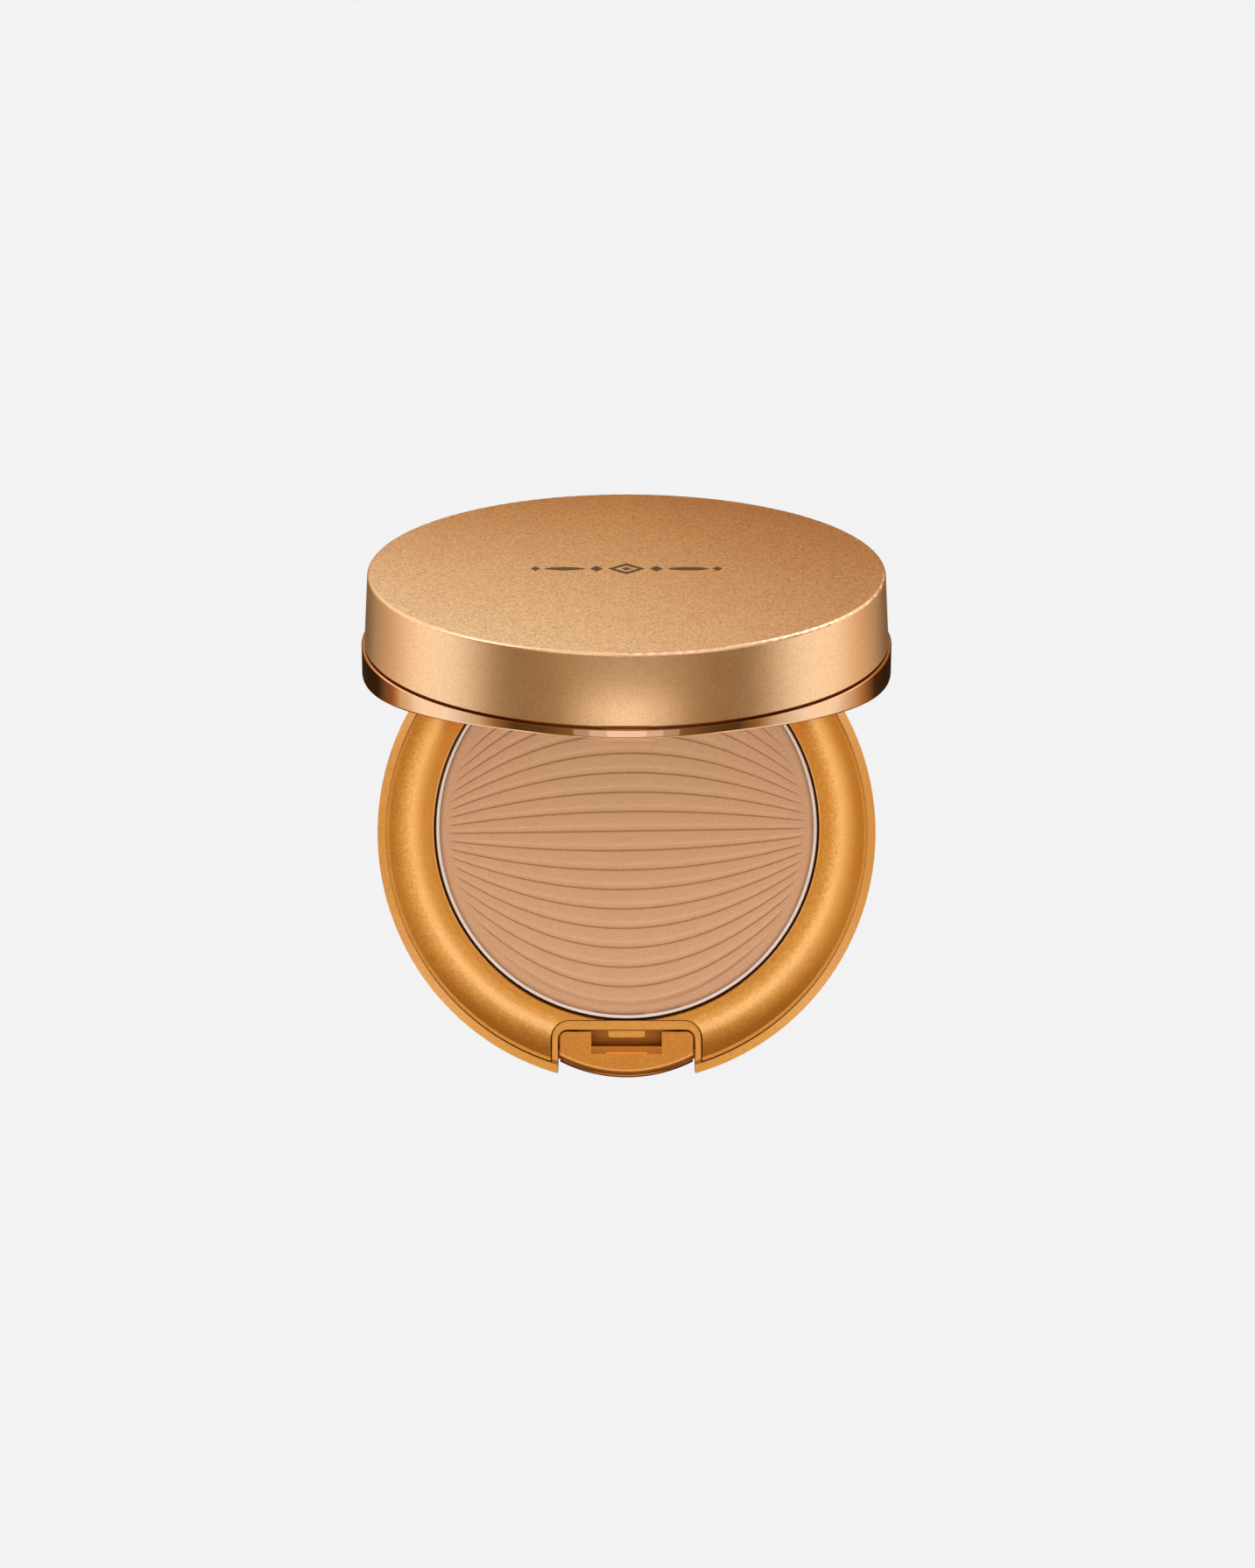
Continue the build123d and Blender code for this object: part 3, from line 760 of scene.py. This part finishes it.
def lobe_distance(tree, direction):
    """Distance of a direction from the middle of the bright lobe, in half widths."""
    offset = vector_math(tree, "SUBTRACT", direction, (0.0, LOBE_BACK, 0.0))
    widths = (1 / LOBE_HALF[0], 1 / LOBE_HALF[1], 0.0)
    return vector_value(tree, "LENGTH", vector_math(tree, "MULTIPLY", offset, widths))


def studio_floor():
    """Pale floor that glows: even for the camera; for all other rays it carries a painted shadow
    around the object and two painted shadow spots beside it.
    """
    bpy.ops.mesh.primitive_plane_add(size=FLOOR_SIZE, location=(0, 0, -0.02 * MM))
    floor = bpy.context.active_object
    floor.name = "floor"
    made = bpy.data.materials.new("floor_paper")
    made.use_nodes = True
    tree = made.node_tree
    tree.nodes.clear()
    where = place(tree)
    mirrored = vector_math(tree, "ABSOLUTE", where)
    offset = vector_math(tree, "SUBTRACT", mirrored, (40 * MM, 28 * MM, 0.0))
    beside = vector_value(tree, "LENGTH", vector_math(tree, "MULTIPLY", offset, (0.52, 1.15, 1.0)))
    # painted shadow around the object, for reflections and bounced light only
    near = ramp_over(tree, beside, FLOOR_REACH, [
        (14 * MM, 0.045), (25 * MM, 0.08), (38 * MM, 0.48), (48 * MM, 0.64), (62 * MM, 0.77),
        (84 * MM, 0.98), (FLOOR_REACH, 1.1)])
    # two more painted shadow spots, to the back right and to the left
    right = painted_shadow_spot(tree, where, (75 * MM, 85 * MM, 0.0), 24 * MM, 0.55, FLOOR_REACH)
    left = painted_shadow_spot(tree, where, (-95 * MM, 20 * MM, 0.0), 18 * MM, 0.50, 48 * MM)
    seen = math(tree, "MULTIPLY", near, math(tree, "MULTIPLY", right, left))
    seen = warmed(tree, seen, 0.8, 1.8)
    colour = mix(tree, seen_by_camera(tree), seen, grey(BACKDROP))
    glow = add(tree, "Emission", Color=colour)
    output = add(tree, "OutputMaterial")
    tree.links.new(glow.outputs[0], output.inputs["Surface"])
    floor.data.materials.append(made)


def painted_shadow_spot(tree, where, centre, core, darkest, reach):
    """Painted shadow spot: a factor that rises from a darkest value inside a core to 1 at a reach."""
    offset = vector_math(tree, "SUBTRACT", where, centre)
    away = vector_value(tree, "LENGTH", offset)
    return ramp_over(tree, away, FLOOR_REACH, [(core, darkest), (reach, 1.0)])


def area_light(name, at, target, size, power, colour=(1, 1, 1), glossy=True, lit=None,
               blocking=None):
    """Oval light aimed at a point and hidden from the camera, optionally for some pieces only."""
    data = bpy.data.lights.new(name, "AREA")
    data.shape = "ELLIPSE"
    data.size, data.size_y = size
    data.energy = power
    data.color = colour
    light = bpy.data.objects.new(name, data)
    bpy.context.scene.collection.objects.link(light)
    light.location = at
    light.rotation_euler = (Vector(target) - Vector(at)).to_track_quat("-Z", "Y").to_euler()
    light.visible_camera = False
    light.visible_glossy = glossy
    if lit:
        light.light_linking.receiver_collection = group(name + "_lit", lit)
    if blocking:
        light.light_linking.blocker_collection = group(name + "_blocking", blocking)


def group(name, objects):
    """Collection of objects for a light's links."""
    made = bpy.data.collections.new(name)
    for item in objects:
        made.objects.link(item)
    return made


def studio_lights(powder):
    """One light for everything, and one or more for each surface that needs its own."""
    nodes = frame["nodes"]
    area_light("overhead", at=(0.0, 0.1, 1.3), target=(0, 0, 0), size=(1.2, 1.2), power=3.6,
               glossy=False)
    raked = [powder, nodes["powder_pan"]]
    area_light("powder_light", at=(-0.12, 0.70, 0.70), target=(0, 0, 0), size=(0.25, 0.10),
               power=5.5, glossy=False, lit=raked, blocking=raked)
    button = [nodes["push_button"]]
    area_light("ramp_light", at=(0, -0.0322, 0.0066), target=(0, -0.0336, 0.0066),
               size=(0.013, 0.0026), power=0.0001, colour=(1.1, 1.05, 0.5), lit=button,
               blocking=button)
    cover = [nodes["lid_cover"]]
    lid_glow("cover_glow", cover, at=(0, 0.0080, 0.0895), target=(0, 0.0168, 0.0762),
             size=(0.034, 0.007), power=0.00021, colour=(0.92, 1.0, 1.05))
    lid_glow("band_glow", [nodes["lid_band"], nodes["lid_frame"]], at=(0, 0.0040, 0.0879),
             target=(0, 0.0146, 0.0759), size=(0.028, 0.008), power=0.00014,
             colour=(0.85, 1.0, 1.3))
    cover_lights(cover)


def cover_lights(cover):
    """Lights for the bright line along the lid's top edge, and for the ends of its wall."""
    area_light("edge_light", at=(0, 0.36, 0.44), target=(0, 0.03, 0.07), size=(0.5, 0.10),
               power=0.24, colour=(1.0, 1.2, 1.6), lit=cover, blocking=cover)
    for side in (-1, 1):
        area_light(f"edge_light_{side}", at=(side * 0.21, 0.23, 0.175),
                   target=(side * 0.027, 0.025, 0.07), size=(0.22, 0.12), power=0.17,
                   colour=(1.0, 1.25, 1.8), lit=cover, blocking=cover)
        area_light(f"side_light_{side}", at=(side * 0.076, 0.03, 0.005),
                   target=(side * 0.036, 0.03, 0.055), size=(0.05, 0.06), power=0.0023,
                   colour=(1.0, 0.85, 0.62), lit=cover, blocking=cover)


def lid_glow(name, lit, at, target, size, power, colour):
    """Three nested lights that make one soft-edged reflection at the front of the lid."""
    for index, share in enumerate((1.0, 0.68, 0.36)):
        area_light(f"{name}_{index}", at, target, (size[0] * share, size[1] * share),
                   power * share**2, colour, lit=lit, blocking=lit)


def camera():
    """Camera looking straight down."""
    data = bpy.data.cameras.new("camera")
    data.lens = CAMERA_LENS
    data.sensor_width = SENSOR
    data.clip_start = 0.01
    made = bpy.data.objects.new("camera", data)
    bpy.context.scene.collection.objects.link(made)
    made.location = CAMERA_AT
    bpy.context.scene.camera = made


finish_nodes()
yielding_springs()
powder = ridged_powder()
lid_ornament()
studio_world()
studio_floor()
studio_lights(powder)
camera()
bpy.context.scene.view_settings.view_transform = "Standard"
